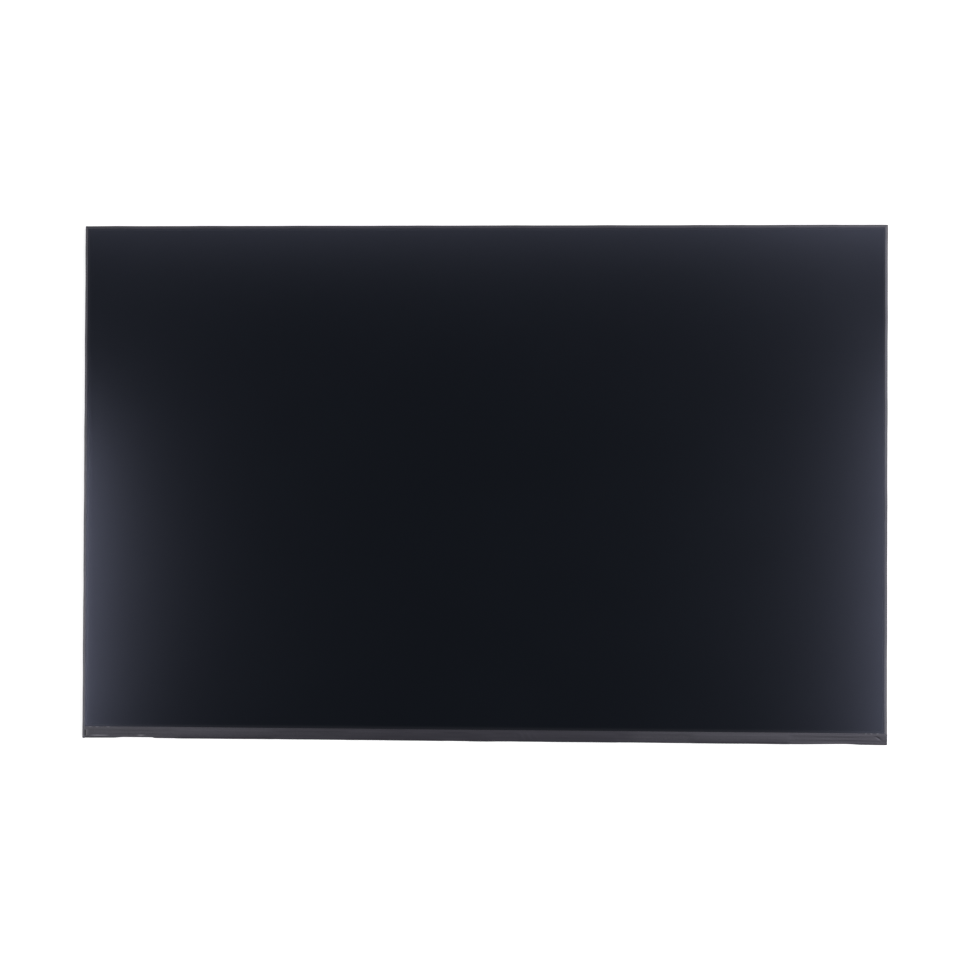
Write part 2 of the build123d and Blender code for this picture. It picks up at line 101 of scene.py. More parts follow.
# %% [markdown]
# ## Shader maths
# A finish is a small sum: so much noise, scaled, added to a plain roughness. Nodes can be placed one by
# one, but then the sum is hard to see. Here a small class wraps a socket, and ordinary Python arithmetic
# on it adds the Math nodes. Colours and vectors keep to Mix and Vector Math, because a Math node would
# turn a colour grey.

# %% Sockets that can be added and multiplied
class Wire:
    """A socket of a node tree. Arithmetic on it adds Math nodes to the same tree."""

    def __init__(self, tree, socket=None):
        self.tree = tree
        self.socket = socket

    def add(self, kind, settings=None, sockets=None, out=0):
        """Adds a node: its settings first, then its sockets' values or links. Gives one of its outputs."""
        node = self.tree.nodes.new(kind)
        for name, value in (settings or {}).items():
            if name == "stops":
                self.set_stops(node.color_ramp.elements, value)
            else:
                setattr(node, name, value)
        for name, value in (sockets or {}).items():
            if isinstance(value, Wire):
                self.tree.links.new(value.socket, node.inputs[name])
            else:
                node.inputs[name].default_value = value
        return Wire(self.tree, node.outputs[out] if node.outputs else None)

    @staticmethod
    def set_stops(elements, stops):
        """Gives a ramp as many stops as asked, each a place and a colour."""
        while len(elements) < len(stops):
            elements.new(1.0)
        for element, (place, colour) in zip(elements, stops):
            element.position = place
            element.color = (*colour, 1.0)

    def math(self, operation, *values):
        return self.add("ShaderNodeMath", {"operation": operation}, dict(enumerate(values)))

    def __add__(self, other):
        return self.math("ADD", self, other)

    def __radd__(self, other):
        return self.math("ADD", other, self)

    def __sub__(self, other):
        return self.math("SUBTRACT", self, other)

    def __rsub__(self, other):
        return self.math("SUBTRACT", other, self)

    def __mul__(self, other):
        return self.math("MULTIPLY", self, other)

    def __rmul__(self, other):
        return self.math("MULTIPLY", other, self)


# %% [markdown]
# ## Room
# A matt screen shows a blurred picture of the room above it, and that picture is all that the eye has to
# go by on a black film. So the room is dark overhead, where the film looks at near-square angles, and
# grey round the horizon. It darkens downwards too, which gives shape to the metal back when that is
# looked at from beneath. Rays from the camera itself, and rays through clear parts, meet plain white.

# %% Room
ZENITH = (0.040, 0.043, 0.052)
HORIZON = (0.5, 0.5, 0.5)
NADIR = (0.26, 0.26, 0.27)
PLAIN_WHITE = (1.0, 1.0, 1.0, 1.0)
# Heights on a scale from 0, straight down, to 1, straight up
GREY_FROM = 0.38
GREY_UP_TO = 0.76
DARK_FROM = 0.90

world = bpy.data.worlds.new("studio")
scene.world = world
world.use_nodes = True
world.node_tree.nodes.clear()
sky = Wire(world.node_tree)
direction = sky.add("ShaderNodeTexCoord", out="Generated")
height = sky.add("ShaderNodeSeparateXYZ", sockets={0: direction}, out="Z") * 0.5 + 0.5
room = sky.add("ShaderNodeValToRGB",
               {"stops": [(0.0, NADIR), (GREY_FROM, HORIZON), (GREY_UP_TO, HORIZON), (DARK_FROM, ZENITH)]},
               {0: height})
seen = sky.add("ShaderNodeLightPath", out="Is Camera Ray")
through = sky.add("ShaderNodeLightPath", out="Is Transmission Ray")
plain = sky.math("MAXIMUM", seen, through)
shown = sky.add("ShaderNodeMix", {"data_type": "RGBA"}, {0: plain, 6: room, 7: PLAIN_WHITE}, out=2)
sky.add("ShaderNodeOutputWorld", sockets={0: sky.add("ShaderNodeBackground", sockets={0: shown})})
print("room: grey up to", round(2 * GREY_UP_TO - 1, 2), "of the way to the zenith")

# %% [markdown]
# ## Lamps
# Soft boxes stand just outside what the film mirrors to the camera: on the left, on the right, above the
# top edge and past the upper right corner. The film's slight roughness spreads each into a glow that
# fades from its edge of the panel towards the middle. A lamp below the floor lights the back, which would
# otherwise be black when the panel is looked at from beneath. Each lamp is given by its brightness, so
# that its size can be changed alone: its power is then pi times its area times that.

# %% Lamps
LAMP_HEIGHT = 0.9
# Place and size in metres, and brightness
LAMPS = {
    "left_softbox": ((-0.524, -0.085, LAMP_HEIGHT), (0.218, 0.287), 13.8),
    "right_softbox": ((0.463, -0.089, LAMP_HEIGHT), (0.22, 0.395), 17.0),
    "top_softbox": ((0.054, 0.269, LAMP_HEIGHT), (0.961, 0.05), 3.1),
    "corner_softbox": ((0.379, 0.37, LAMP_HEIGHT), (0.3, 0.14), 16.0),
    "under_lamp": ((0.3, -0.35, -LAMP_HEIGHT), (0.8, 0.8), 2.5),
}

for name, (place, size, brightness) in LAMPS.items():
    lamp = bpy.data.objects.new(name, bpy.data.lights.new(name, "AREA"))
    lamp.data.shape = "RECTANGLE"
    lamp.data.size, lamp.data.size_y = size
    lamp.data.energy = brightness * pi * size[0] * size[1]
    lamp.location = place
    lamp.rotation_euler = (pi if place[2] < 0 else 0.0, 0.0, 0.0)
    lamp.visible_camera = False
    scene.collection.objects.link(lamp)
    print(f"{name}: {lamp.data.energy:.1f} W")

# %% [markdown]
# ## Floor
# The floor is white paper. Its own colour takes the panel's shadow, and a glow that only the camera,
# mirrors and clear parts can see lifts it to white. Far from the panel the lamps give the paper little
# light, so the glow rises there. So that the back can be looked at too, the floor is clear from below,
# and right under the panel it is clear to all rays but the camera's own: the metal then mirrors the room,
# not paper.

# %% Floor
FLOOR_HALF = 3.0
FLOOR_DROP = 0.0002

corners = FLOOR_HALF * np.array([(-1, -1, 0), (1, -1, 0), (1, 1, 0), (-1, 1, 0)])
corners[:, 2] = -FLOOR_DROP
sheet = bpy.data.meshes.new("floor")
sheet.from_pydata(corners.tolist(), [], [(0, 1, 2, 3)])
floor = bpy.data.objects.new("floor", sheet)
scene.collection.objects.link(floor)
floor.visible_shadow = False
print("floor", FLOOR_DROP / MM, "mm under the panel")

# %% Paper of the floor
PAPER = (0.8, 0.8, 0.8, 1.0)
PAPER_GLOW = 0.6
# Distances in metres over which the glow rises to white
GLOW_FROM, GLOW_TO = 0.5, 1.2

paper = bpy.data.materials.new("white_paper")
paper.use_nodes = True
paper.node_tree.nodes.clear()
ray = Wire(paper.node_tree)
from_camera, mirrored, passed_on = [ray.add("ShaderNodeLightPath", out=f"Is {kind} Ray")
                                    for kind in ("Camera", "Glossy", "Transmission")]
on_floor = ray.add("ShaderNodeTexCoord", out="Object")
distance = ray.add("ShaderNodeVectorMath", {"operation": "LENGTH"}, {0: on_floor}, out="Value")
level = ray.add("ShaderNodeMapRange", sockets={"Value": distance, "From Min": GLOW_FROM, "From Max": GLOW_TO,
                                              "To Min": PAPER_GLOW, "To Max": 1.0})
glowing = ray.math("MAXIMUM", ray.math("MAXIMUM", from_camera, mirrored), passed_on) * level
matt = ray.add("ShaderNodeBsdfDiffuse", sockets={0: PAPER})
glow = ray.add("ShaderNodeEmission", sockets={1: glowing})
lit = ray.add("ShaderNodeAddShader", sockets={0: matt, 1: glow})
below = ray.add("ShaderNodeNewGeometry", out="Backfacing")
under_panel = 1 - from_camera
for axis, half in zip("XY", panel_high[:2] * MM):
    along = ray.add("ShaderNodeSeparateXYZ", sockets={0: on_floor}, out=axis)
    under_panel = under_panel * ray.math("LESS_THAN", ray.math("ABSOLUTE", along), float(half))
clear = ray.math("MAXIMUM", below, under_panel)
face = ray.add("ShaderNodeMixShader", sockets={0: clear, 1: lit, 2: ray.add("ShaderNodeBsdfTransparent")})
ray.add("ShaderNodeOutputMaterial", sockets={0: face})
sheet.materials.append(paper)
print(f"paper: glow from {PAPER_GLOW} near the panel to 1 at {GLOW_TO} m")


# %% [markdown]
# ## Finishes
# Every finish has the same parts: a noise of the right size for the material, which shifts its colour and
# its roughness a little and lifts its surface by thousandths of a millimetre. Noise on object coordinates
# needs no unwrapping and runs on across the pieces of one material, as it does on sheet cut from one
# roll.

# %% A finish and the pieces that get it
def finish(name, **constants):
    """A new material with one Principled shader, its plain numbers set on the shader's own sockets."""
    material = bpy.data.materials.new(name)
    material.use_nodes = True
    tree = material.node_tree
    tree.nodes.clear()
    shader = tree.nodes.new("ShaderNodeBsdfPrincipled")
    output = tree.nodes.new("ShaderNodeOutputMaterial")
    tree.links.new(shader.outputs[0], output.inputs[0])
    for socket, value in constants.items():
        shader.inputs[socket.replace("_", " ")].default_value = value
    return material, Wire(tree), shader


def feed(shader, **wires):
    """Links what varies over the surface to the shader's sockets."""
    for socket, wire in wires.items():
        wire.tree.links.new(wire.socket, shader.inputs[socket.replace("_", " ")])


def dress(material, *names):
    """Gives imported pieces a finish."""
    for name in names:
        nodes[name].data.materials.clear()
        nodes[name].data.materials.append(material)
    print(material.name, "on", ", ".join(names))


# %% Patterns for finishes
def position(w):
    """Object coordinates, in millimetres."""
    return w.add("ShaderNodeVectorMath", {"operation": "SCALE"},
                 {0: w.add("ShaderNodeTexCoord", out="Object"), "Scale": 1 / MM})


def position_on(w, axis):
    """One of the object coordinates, in millimetres."""
    return w.add("ShaderNodeSeparateXYZ", sockets={0: position(w)}, out=axis)


def grain(w, size, detail=2.0):
    """Noise about 0.5, with lumps of the given size in millimetres along X, Y and Z."""
    lumps = w.add("ShaderNodeVectorMath", {"operation": "DIVIDE"}, {0: position(w), 1: size})
    return w.add("ShaderNodeTexNoise", sockets={"Vector": lumps, "Scale": 1.0, "Detail": detail})


def step(w, value, start, end):
    """A smooth step: 0 up to start, 1 from end on."""
    return w.add("ShaderNodeMapRange", {"interpolation_type": "SMOOTHSTEP"},
                 {"Value": value, "From Min": start, "From Max": end})


def blend(w, share, first, second):
    """A colour between two, by a share from 0 to 1."""
    colours = [colour if isinstance(colour, Wire) else (*colour, 1.0) for colour in (first, second)]
    return w.add("ShaderNodeMix", {"data_type": "RGBA"}, {0: share, 6: colours[0], 7: colours[1]}, out=2)


def bump(w, height, depth):
    """A normal bent by a height from 0 to 1, which stands for a depth in millimetres."""
    return w.add("ShaderNodeBump", sockets={"Strength": 1.0, "Distance": depth * MM, "Height": height})


print("six patterns for finishes")


# %% [markdown]
# ## Thin sheets
# Tape and film have a constant thickness, so one grid of points is enough to describe a sheet: the other
# face is the same grid moved along its normals. A mask of kept cells then cuts notches, and a wall is put
# wherever a kept cell meets an empty one, which closes the sheet all round. Solidify would do as much for
# a plain sheet, but here the cut edges stay square to the fold and the two faces can differ.

# %% Faces of a sheet of two grids
def sheet_faces(keep):
    """Faces over two like grids, outer points first. Each kept cell gives a face on both grids, turned round
    on the inner one, and each border of the kept cells gives a wall between the grids."""
    rows, columns = np.array(keep.shape) + 1
    count = rows * columns
    index = np.arange(count).reshape(rows, columns)
    outer = np.stack([index[:-1, :-1], index[1:, :-1], index[1:, 1:], index[:-1, 1:]], -1)[keep]
    ringed = np.pad(keep, 1)
    above, below = ringed[:-1, 1:-1], ringed[1:, 1:-1]
    before, after = ringed[1:-1, :-1], ringed[1:-1, 1:]
    starts = np.concatenate([index[:, :-1][below & ~above], index[:, 1:][above & ~below],
                             index[1:][after & ~before], index[:-1][before & ~after]])
    ends = np.concatenate([index[:, 1:][below & ~above], index[:, :-1][above & ~below],
                           index[:-1][after & ~before], index[1:][before & ~after]])
    walls = np.stack([starts, ends, ends + count, starts + count], -1)
    return np.concatenate([outer, outer[:, ::-1] + count, walls])


print("a sheet of one cell has", len(sheet_faces(np.ones((1, 1), dtype=bool))), "faces")

# %% Pieces from points and faces
SHARP_ANGLE = radians(40)


def make_piece(name, points, faces, material, stands_for=None, wear=None):
    """Puts points in millimetres and four-cornered faces into a mesh that rides on the panel."""
    used, places = np.unique(faces, return_inverse=True)
    mesh = bpy.data.meshes.new(name)
    mesh.from_pydata((points[used] * MM).tolist(), [], places.reshape(faces.shape).tolist())
    mesh.polygons.foreach_set("use_smooth", np.ones(len(faces), dtype=bool))
    mesh.set_sharp_from_angle(angle=SHARP_ANGLE)
    if wear is not None:
        # The attribute carries what the tape's finish paints lighter or darker: painted sheen, painted
        # highlights and painted shade
        mesh.attributes.new("wear", "FLOAT", "POINT").data.foreach_set("value", wear[used].astype(np.float32))
    mesh.materials.append(material)
    piece = bpy.data.objects.new(name, mesh)
    scene.collection.objects.link(piece)
    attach(piece, "root")
    if stands_for:
        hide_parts(stands_for)
    print(f"{name}: {len(used)} points, {len(faces)} faces")


def make_sheet(name, outer, inner, material, slot, stands_for, keep=None, wear=None):
    """A closed sheet between two grids of points (rows, columns, 3), its faces turned outwards."""
    rows, columns = outer.shape[:2]
    if keep is None:
        keep = np.ones((rows - 1, columns - 1), dtype=bool)
    faces = sheet_faces(keep)
    points = np.concatenate([outer.reshape(-1, 3), inner.reshape(-1, 3)])
    a, b, _, d = points[faces[0]]
    if np.dot(np.cross(b - a, d - a), a - points[faces[0, 0] + rows * columns]) < 0:
        faces = faces[:, ::-1]
    if wear is not None:
        wear = np.tile(wear.ravel(), 2)
    make_piece(name, points, faces, material, stands_for, wear)


# %% [markdown]
# ## Folds
# A tape goes on flat and is then folded over an edge, so its section is a line with rounded corners. The
# line is built from straight runs and arcs, and each point keeps its normal, along which the tape gets
# its thickness and its dents. Distances in a section are counted inwards from the panel's edge, so one
# section serves every edge. What the hand did to the tape is put together from three curves: a step, a
# stretch and a bell.

# %% Section with rounded corners
ARC_STEPS = 7


def rounded_section(corners, radii, spacing):
    """Points along runs joined by arcs, and the normals on their right-hand side. A run loses radius times
    the tangent of half the turn at each end; an arc's point is where the heading has turned by a share of
    the turn."""
    corners = np.array(corners)
    runs = np.diff(corners, axis=0)
    lengths = np.linalg.norm(runs, axis=1)
    headings = np.unwrap(np.arctan2(runs[:, 1], runs[:, 0]))
    turns = np.diff(headings)
    cuts = np.concatenate([[0], np.array(radii) * np.abs(np.tan(turns / 2)), [0]])
    points = []
    angles = []
    for i, way in enumerate(runs / lengths[:, None]):
        length = lengths[i] - cuts[i] - cuts[i + 1]
        along = np.linspace(0, length, ceil(length / spacing) + 1)
        points.append(corners[i] + (cuts[i] + along[:, None]) * way)
        angles.append(np.full(len(along), headings[i]))
        if i < len(turns):
            turned = headings[i] + turns[i] * np.linspace(0, 1, ARC_STEPS + 1)[1:-1]
            arc = np.stack([np.sin(turned) - np.sin(headings[i]), np.cos(headings[i]) - np.cos(turned)], -1)
            points.append(points[-1][-1] + np.sign(turns[i]) * radii[i] * arc)
            angles.append(turned)
    angles = np.concatenate(angles)
    return np.concatenate(points), np.stack([np.sin(angles), -np.cos(angles)], -1)


print("an arc of a fold has", ARC_STEPS, "steps")


# %% Curves along a tape
def ease(place, start, end):
    """0 before start, 1 past end and a smooth rise between: three times the square less twice the cube."""
    share = np.clip((place - start) / (end - start), 0, 1)
    return share ** 2 * (3 - 2 * share)


def stretch(place, rise, fall):
    """1 between two places and 0 outside them: one smooth step up less a later one."""
    return ease(place, *rise) - ease(place, *fall)


def hump(place, middle, width):
    """A bell curve of height 1, down to about a third at its width from the middle."""
    return np.exp(-((place - middle) / width) ** 2)


def graded(stretches, end):
    """Places along a line. Each stretch, given by its start and its spacing, is divided evenly."""
    starts, spacings = zip(*stretches)
    stops = [*starts, end]
    parts = [np.linspace(a, b, max(1, round((b - a) / gap)), endpoint=False)
             for a, b, gap in zip(stops, stops[1:], spacings)]
    return np.concatenate([*parts, [end]])


print("half way up a smooth step:", ease(0.5, 0.0, 1.0))


# %% [markdown]
# ## Black tape
# The tape is black polyester with a dull, slightly grey face. It was rubbed down by hand along the edge,
# so its gloss runs in streaks along the roll. Its colour is painted lighter, to grey, as a painted sheen
# where it mirrors the lamps and as painted highlights on its ridges, lighter grey at some specks and ends,
# and painted darker as painted shade in a crease: each tape carries that as an attribute of its points,
# which the finish reads as painted light where it is positive and as painted shade where it is negative.

# %% Finish of the black tape
# Where the painted lightening to grey starts and is full, and where the painted shade is full
LIGHTEN_FROM, LIGHTEN_FULL = 0.2, 0.9
SHADE_FULL = -0.6


def black_tape():
    """Dull black in clouds, streaked along the roll; painted lighter grey where its points' attribute is
    positive, a painted sheen and painted highlights, and painted shade where it is negative.
    """
    material, w, shader = finish("black_tape", IOR=1.5, Specular_Tint=(0.86, 0.84, 1.0, 1.0))
    fine = grain(w, (0.22, 0.22, 0.22), 3.0)
    streak = grain(w, (9.0, 0.7, 0.7))
    cloud = grain(w, (28.0, 6.0, 6.0))
    wear = w.add("ShaderNodeAttribute", {"attribute_name": "wear"}, out="Fac")
    # Painted light: positive values lighten the black to grey, negative ones paint shade towards near black
    lightened = step(w, wear + 0.5 * (fine - 0.5), LIGHTEN_FROM, LIGHTEN_FULL)
    dull = blend(w, cloud, (0.0175, 0.0168, 0.0215), (0.0240, 0.0230, 0.0290))
    shaded = blend(w, step(w, wear, SHADE_FULL, 0.0), (0.004, 0.004, 0.005), dull)
    feed(shader,
         Base_Color=blend(w, lightened, shaded, (0.15, 0.15, 0.16)),
         Roughness=0.285 + 0.09 * streak + 0.07 * fine + 0.07 * cloud,
         Normal=bump(w, fine + 0.5 * streak, 0.003))
    return material


tape_finish = black_tape()
TAPE = box_mm("top_edge_tape")[1, 2] - box_mm("colour_filter_glass")[1, 2]
print("tape", round(TAPE, 3), "mm thick")

# %% [markdown]
# ## Bottom tape
# The wide tape along the bottom starts on the front glass, bridges the step down to the driver films in a
# shallow curve, goes round their fold and ends on the back of the board. Between the films nothing backs
# it, so there it sags and its fold is pushed in. On the left the fold has a flat dent with a steep end,
# and on the right it slopes in slowly and comes out sooner. All of this is one grid: places along X by
# points of the section, moved along the section's normals.

# %% Section of the bottom tape
TAPE_GAP = 0.03
BRIDGE_STEPS = 4
BRIDGE_ROUND = 2.0
FOLD_ROUND = 0.65
SECTION_SPACING = 0.25
edge_y = panel_low[1]
glass_top = box_mm("colour_filter_glass")[1, 2]
glass_edge = box_mm("colour_filter_glass")[0, 1] - edge_y
film_top = box_mm("driver_film_1")[1, 2]
face_edge = box_mm("front_polariser")[0, 1] - edge_y
tape_low, tape_high = box_mm("bottom_tape")

# The bridge falls as the square of the way from the glass edge, and clears the driver films at their fold
bridge_end = FOLD_ROUND + TAPE
bridge = np.linspace(glass_edge, bridge_end, BRIDGE_STEPS)
fall = (glass_top - film_top) * ((glass_edge - bridge) / (glass_edge - bridge_end)) ** 2
tape_back = tape_low[2] + TAPE
section, normal = rounded_section(
    [(face_edge - TAPE_GAP, glass_top), *zip(bridge, glass_top - fall), (TAPE, film_top - TAPE),
     (TAPE, tape_back), (tape_high[1] - edge_y, tape_back)],
    [*[BRIDGE_ROUND] * BRIDGE_STEPS, FOLD_ROUND, FOLD_ROUND], SECTION_SPACING)
print(len(section), "points from the glass round the fold to the board")

# %% Places along the bottom tape
FILM_NUMBERS = range(1, 5)
FILM_EDGE_FALL = 1.2
LIGHT_TAIL = (-4.0, 4.0)
SPLICE_X = -68.9
# Where the tape faces the front, by height, and where it lies on the ledge, by the way in from the edge
FRONT_FROM = 3.0
LEDGE_RISE, LEDGE_FALL = (0.6, 1.2), (3.2, 3.6)

driver_films = [box_mm(f"driver_film_{number}")[:, 0] for number in FILM_NUMBERS]
# Points lie closer at the dented ends, at the splice and where the tape is wrinkled
x = graded([(tape_low[0], 0.2), (-124.5, 1.0), (SPLICE_X - 1, 0.1), (SPLICE_X + 1, 1.0), (10.0, 0.4),
            (24.0, 1.0), (136.0, 0.2)], tape_high[0])
backed = sum(stretch(x, (low - FILM_EDGE_FALL, low), (high, high + FILM_EDGE_FALL))
             for low, high in [*driver_films, LIGHT_TAIL])
inward = section[:, :1]
in_front = ease(section[:, 1:], FRONT_FROM, film_top)
on_ledge = in_front * stretch(inward, LEDGE_RISE, LEDGE_FALL)
round_fold = np.clip(-normal[:, :1], 0, 1)
print(f"{len(x)} places, {np.mean(backed):.0%} of the length is backed by a driver film")

# %% Sags and dents of the bottom tape
SAG = 0.05
GAP_DENT = 0.05
FOLD_PRESS = 0.06
PRESS_END = (140.0, 150.0)
TAIL_BULGE = 9.0
RIPPLE = 0.016
LEDGE_RIPPLE = 0.006
# Depth of each dent of the fold, where it sets in and where it comes out again
DENTS = [(0.33, (-141.5, -136.5), (-126.1, -125.1)), (0.27, (119.0, 137.0), (137.5, 143.5))]

# Two sines of unlike length, lifted so that they are never negative
ripple = np.sin(x / 7.5 + 0.6) + 0.7 * np.sin(x / 3.3 + 2.0) + 1.7
pressed = FOLD_PRESS * (1 - ease(np.abs(x), *PRESS_END)) + RIPPLE * ripple
dent = (sum(depth * stretch(x, rise, fall) for depth, rise, fall in DENTS)
        + (1 - hump(x, 0.0, TAIL_BULGE)) * pressed + GAP_DENT * (1 - backed))
sag = SAG * (1 - backed) - LEDGE_RIPPLE * ripple
print(f"the fold is pushed in by {dent.min():.2f} to {dent.max():.2f} mm")

# %% Creases, splice and grit of the bottom tape
WRINKLE, WRINKLE_X, WRINKLE_LENGTH = 0.02, 16.5, 4.5
CREASE, CREASE_WIDTH = 0.09, 0.25
LONG_CREASE_IN, LONG_CREASE = 1.05, ((-150.5, -147.5), (-145.0, -142.0))
SHORT_CREASE_IN, SHORT_CREASE_X, SHORT_CREASE_LENGTH = 1.2, -130.2, 1.3
SPLICE_DIP, SPLICE_WIDTH = 0.03, 0.14
GRIT, GRIT_X, GRIT_IN = 0.05, 31.6, 2.2
GRIT_LENGTH, GRIT_WIDTH = 0.6, 0.5
FAINT_CREASE, FAINT_WIDTH = 0.05, 0.28
FAINT_X, FAINT_IN = 148.4, 3.65
FAINT_SLANT = (2.0, 3.1)
FAINT_STRETCH = ((147.7, 148.7), (150.2, 151.6))

wrinkle = WRINKLE * hump(x, WRINKLE_X, WRINKLE_LENGTH) * np.sin(2.4 * x + 1.3 * inward)
long_crease = hump(inward, LONG_CREASE_IN, CREASE_WIDTH) * stretch(x, *LONG_CREASE)
short_crease = hump(inward, SHORT_CREASE_IN, CREASE_WIDTH) * hump(x, SHORT_CREASE_X, SHORT_CREASE_LENGTH)
ridge = CREASE * (long_crease + short_crease)
splice = SPLICE_DIP * hump(x, SPLICE_X, SPLICE_WIDTH)
grit = GRIT * hump(x, GRIT_X, GRIT_LENGTH) * hump(inward, GRIT_IN, GRIT_WIDTH)
# A diagonal crease at the right corner: a groove by the distance from a slanting line
across = ((x - FAINT_X) * FAINT_SLANT[0] + (inward - FAINT_IN) * FAINT_SLANT[1]) / np.hypot(*FAINT_SLANT)
groove = on_ledge * stretch(x, *FAINT_STRETCH) * hump(across, 0.0, FAINT_WIDTH)
lift = on_ledge * (wrinkle + ridge + grit - splice - sag) - FAINT_CREASE * groove - round_fold * dent
print(f"moved in by at most {-lift.min():.2f} mm and out by {lift.max():.2f} mm")

# %% Lifted specks, painted sheen, painted highlights and painted shade of the bottom tape
# Specks and the lifted left end are lifted and painted lighter grey; where the tape lies over the right
# tape's lip it is painted lighter too
SPECKS = [-149.9, -147.2, -142.9, 145.0, 147.0, 149.3]
SPECK_LENGTH, SPECK_WIDTH, SPECK_LIFT, SPECK_LIGHTEN = 0.45, 0.45, 0.07, 0.8
END_IN, END_LENGTH, END_LIFT, END_LIGHTEN = 0.3, 0.9, 0.06, 0.2
RIDGE_HIGHLIGHT, CREASE_SHADE = 5.0, 0.9
OVERLAP_X, OVERLAP_LENGTH, OVERLAP_IN, OVERLAP_LIGHTEN = 152.5, 0.4, (2.0, 3.6), 0.15
FOLD_SHADE, FOLD_SHADE_IN, FULL_ENDS = 0.3, (0.5, 1.9), (110.0, 135.0)
# Where the painted sheen of the side lamps starts along X, where it is full, and how much it adds
SHEEN_RAMPS = [(-5.0, -45.0, 0.27), (-45.0, -145.0, 0.12), (40.0, 62.0, 0.32), (130.0, 144.0, -0.05)]

cut_edge = in_front * ease(inward, face_edge - SPECK_WIDTH, face_edge - TAPE_GAP)
specks = cut_edge * sum(hump(x, speck, SPECK_LENGTH) for speck in SPECKS)
# Painted sheen: the face is painted lighter towards its ends, where it mirrors the side lamps, and less near
# the fold in the middle, a painted shade of the fold
near_fold = (1 - ease(np.abs(x), *FULL_ENDS)) * (1 - ease(inward, *FOLD_SHADE_IN))
painted_sheen = in_front * (1 - FOLD_SHADE * near_fold) * sum(share * ease(x, start, full)
                                                        for start, full, share in SHEEN_RAMPS)
lifted_end = on_ledge * hump(x, tape_low[0] + END_IN, END_LENGTH)
over_lip = hump(x, OVERLAP_X, OVERLAP_LENGTH) * in_front * ease(inward, *OVERLAP_IN)
# Painted highlights on the ridges of the creases and painted shade in the diagonal groove, added to the
# lighter specks, end and overlap
wear = (painted_sheen + SPECK_LIGHTEN * specks + RIDGE_HIGHLIGHT * np.abs(ridge) * on_ledge + END_LIGHTEN * lifted_end
        + OVERLAP_LIGHTEN * over_lip - CREASE_SHADE * groove / groove.max())
wear = np.clip(wear, -1, 1)
lift = lift + SPECK_LIFT * specks + END_LIFT * lifted_end
print(f"wear from {wear.min():.2f} to {wear.max():.2f}")

# %% Ends of the bottom tape, and the piece
END_RUN = 2.5
END_CUT, CUT_RISE = 0.42, (1.0, 1.3)
END_TUCK, TUCK_RISE, TUCK_FALL = 0.6, (-0.4, 0.6), (0.8, 1.0)

# On the left the end is cut back on the ledge and tucked under the side tape's lip at the fold; on the right
# the tape is laid over the side tape
at_left = 1 - ease(x, tape_low[0], tape_low[0] + END_RUN)
at_right = ease(x, tape_high[0] - END_RUN, tape_high[0])
cut_back = END_CUT * in_front * stretch(inward, CUT_RISE, LEDGE_FALL)
tucked = END_TUCK * stretch(inward, TUCK_RISE, TUCK_FALL)
laid_over = (panel_high[0] - tape_high[0]) * in_front
end_shift = at_left * (cut_back - tucked) + at_right * laid_over


def bottom_points(height):
    """Each point of the section, moved along its normal by a height, at each place along X."""
    moved = section[:, None, :] + normal[:, None, :] * height[..., None]
    return np.stack([x + end_shift, edge_y + moved[..., 0], moved[..., 1]], -1)


make_sheet("bottom_tape_wrap", bottom_points(lift + TAPE), bottom_points(lift), tape_finish, "black_tape",
           "bottom_tape", wear=wear)

# %% [markdown]
# ## Edge tapes
# The other three edges have a narrow tape each: a short lip on the glass, the side, and a wider leg under
# the metal back. They meet at the top corners in a mitre, which falls out of the section: a point that
# lies further in from the edge also stops that much earlier. At the lower left corner a tape starts on an
# arc in the same way. The lip's cut edge wanders a little, since the tape is laid by hand, and its face
# is painted lighter grey as a painted sheen of the side lamps, on the right and left more than on top.

# %% Section of the edge tapes
FRONT_ROUND = 0.35
BACK_ROUND = 0.17
EDGE_SECTION_SPACING = 0.2
shell_low = box_mm("rear_shell")[0]
side_low, side_high = box_mm("right_edge_tape")
lip_width = panel_high[0] - box_mm("front_polariser")[1, 0] - TAPE_GAP
leg_width = side_high[0] - side_low[0]
shell_back = side_low[2] + TAPE
frame_top = box_mm("middle_frame")[1, 2]

edge_section, edge_normal = rounded_section(
    [(lip_width, glass_top), (TAPE, glass_top), (TAPE, shell_back), (leg_width, shell_back)],
    [FRONT_ROUND, BACK_ROUND], EDGE_SECTION_SPACING)
depth, edge_up = edge_section[:, :1], edge_section[:, 1:]
cell_up = (edge_up[1:] + edge_up[:-1]) / 2
on_front = cell_up > glass_top - FRONT_ROUND
on_leg = cell_up < shell_back + TAPE
print(f"lip {lip_width:.2f} mm, leg {leg_width:.2f} mm")

# %% One edge tape
LIP_WAVER = 0.05
SIDE_WAVER = 0.03
SOFT_RISE = 0.2
EDGE_SPACING = 1.0
# How much the side is painted lighter grey where its waver is near a given value, and how widely
SIDE_LIGHTEN, LIGHTENED_WAVER, LIGHTEN_SPREAD = 0.25, 1.3, 0.3

on_lip = ease(edge_up, glass_top - SOFT_RISE, glass_top) * ease(depth, TAPE, lip_width)
on_side = np.clip(-edge_normal[:, :1], 0, 1)
past_frame = ease(edge_up, frame_top, frame_top + SOFT_RISE)
on_top = ease(edge_up, glass_top - FRONT_ROUND, glass_top)


